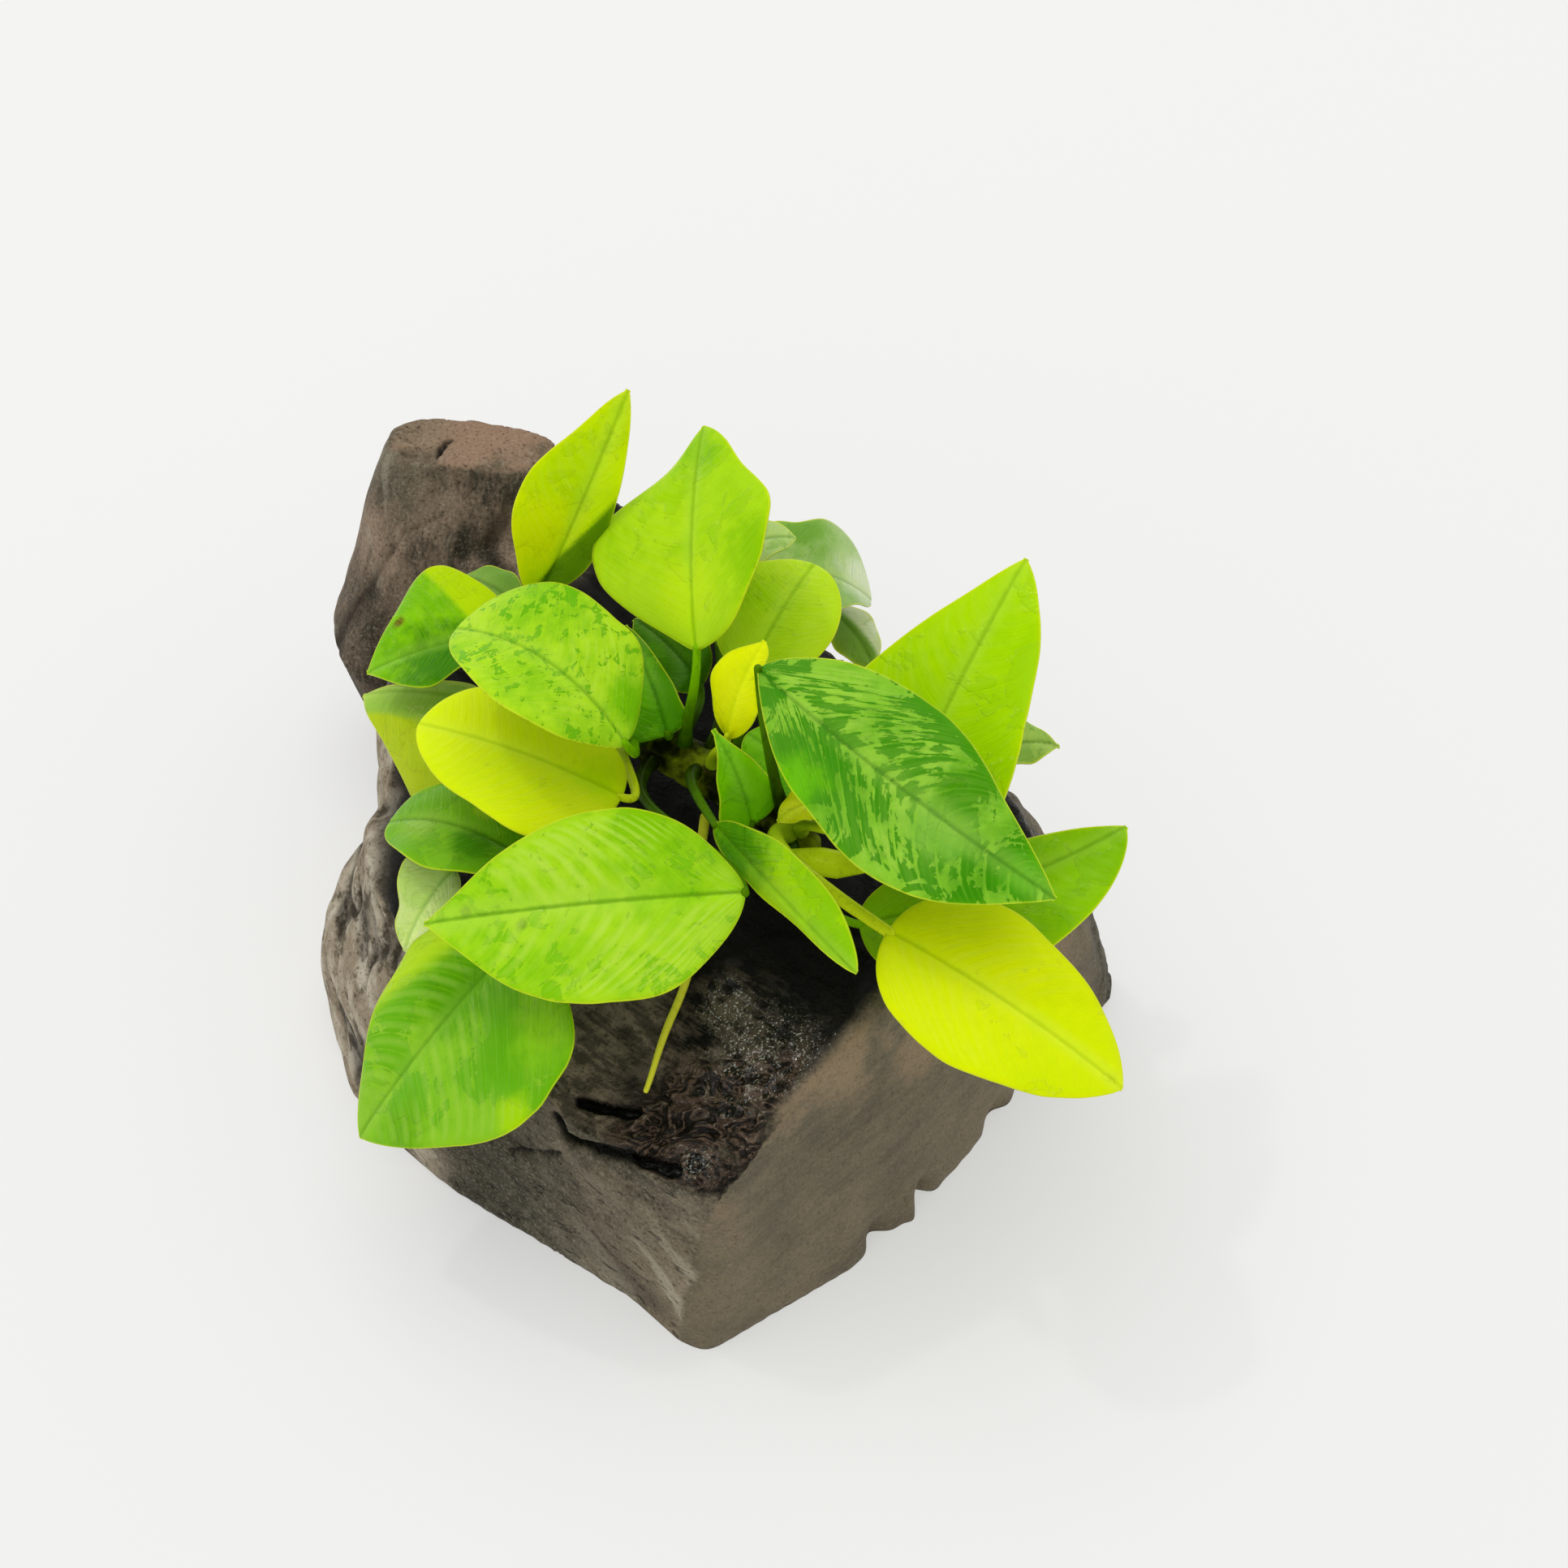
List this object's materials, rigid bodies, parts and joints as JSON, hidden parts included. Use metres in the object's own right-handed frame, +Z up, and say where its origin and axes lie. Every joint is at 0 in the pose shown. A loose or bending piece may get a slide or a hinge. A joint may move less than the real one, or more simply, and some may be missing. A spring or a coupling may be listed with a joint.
{
  "type": "anubias on driftwood",
  "caption": "Broad-leaved aquarium plant whose creeping rhizome is rooted on a sawn block of dark driftwood with a short side limb",
  "frame": {"origin": "On the flat underside of the driftwood block, which rests on Z = 0, near the middle of the wood", "axes": "+Z up from the rest face; -Y towards the low front corner between the sawn face and the natural face; +X towards the rounded right end of the block"},
  "size_m": [0.1438, 0.1539, 0.1124],
  "materials": {
    "wet_driftwood": "wet dark wood, rough and pitted on the natural faces, matt where sawn",
    "rhizome_skin": "olive green living stem with ring scars, satin; leather stands in for plant tissue",
    "leaf_blade": "leathery green leaf with a wet sheen; leather stands in for plant tissue",
    "leaf_stalk": "smooth yellow-green stalk, satin; leather stands in for plant tissue"
  },
  "bodies": {
    "root": {"driftwood_block": "wet_driftwood", "driftwood_limb": "wet_driftwood", "rhizome": "rhizome_skin", "young_leaf": "leaf_stalk", "root_01": "leaf_stalk", "root_02": "leaf_stalk", "leaf_01": "leaf_blade", "leaf_02": "leaf_blade", "leaf_03": "leaf_blade", "leaf_04": "leaf_blade", "leaf_05": "leaf_blade", "leaf_06": "leaf_blade", "leaf_07": "leaf_blade", "leaf_08": "leaf_blade", "leaf_09": "leaf_blade", "leaf_10": "leaf_blade", "leaf_11": "leaf_blade", "leaf_12": "leaf_blade", "leaf_13": "leaf_blade", "leaf_14": "leaf_blade", "leaf_15": "leaf_blade", "leaf_16": "leaf_blade", "leaf_17": "leaf_blade", "leaf_18": "leaf_blade", "leaf_19": "leaf_blade", "leaf_20": "leaf_blade", "leaf_21": "leaf_blade", "leaf_22": "leaf_blade", "leaf_23": "leaf_blade", "leaf_24": "leaf_blade", "leaf_25": "leaf_blade", "leaf_26": "leaf_blade", "leaf_27": "leaf_blade", "stalk_01": "leaf_stalk", "stalk_02": "leaf_stalk", "stalk_03": "leaf_stalk", "stalk_04": "leaf_stalk", "stalk_05": "leaf_stalk", "stalk_06": "leaf_stalk", "stalk_07": "leaf_stalk", "stalk_08": "leaf_stalk", "stalk_09": "leaf_stalk", "stalk_10": "leaf_stalk", "stalk_11": "leaf_stalk", "stalk_12": "leaf_stalk", "stalk_13": "leaf_stalk", "stalk_14": "leaf_stalk", "stalk_15": "leaf_stalk", "stalk_16": "leaf_stalk", "stalk_17": "leaf_stalk", "stalk_18": "leaf_stalk", "stalk_19": "leaf_stalk", "stalk_20": "leaf_stalk", "stalk_21": "leaf_stalk", "stalk_22": "leaf_stalk", "stalk_23": "leaf_stalk", "stalk_24": "leaf_stalk", "stalk_25": "leaf_stalk", "stalk_26": "leaf_stalk", "stalk_27": "leaf_stalk"}
  },
  "joints": []
}
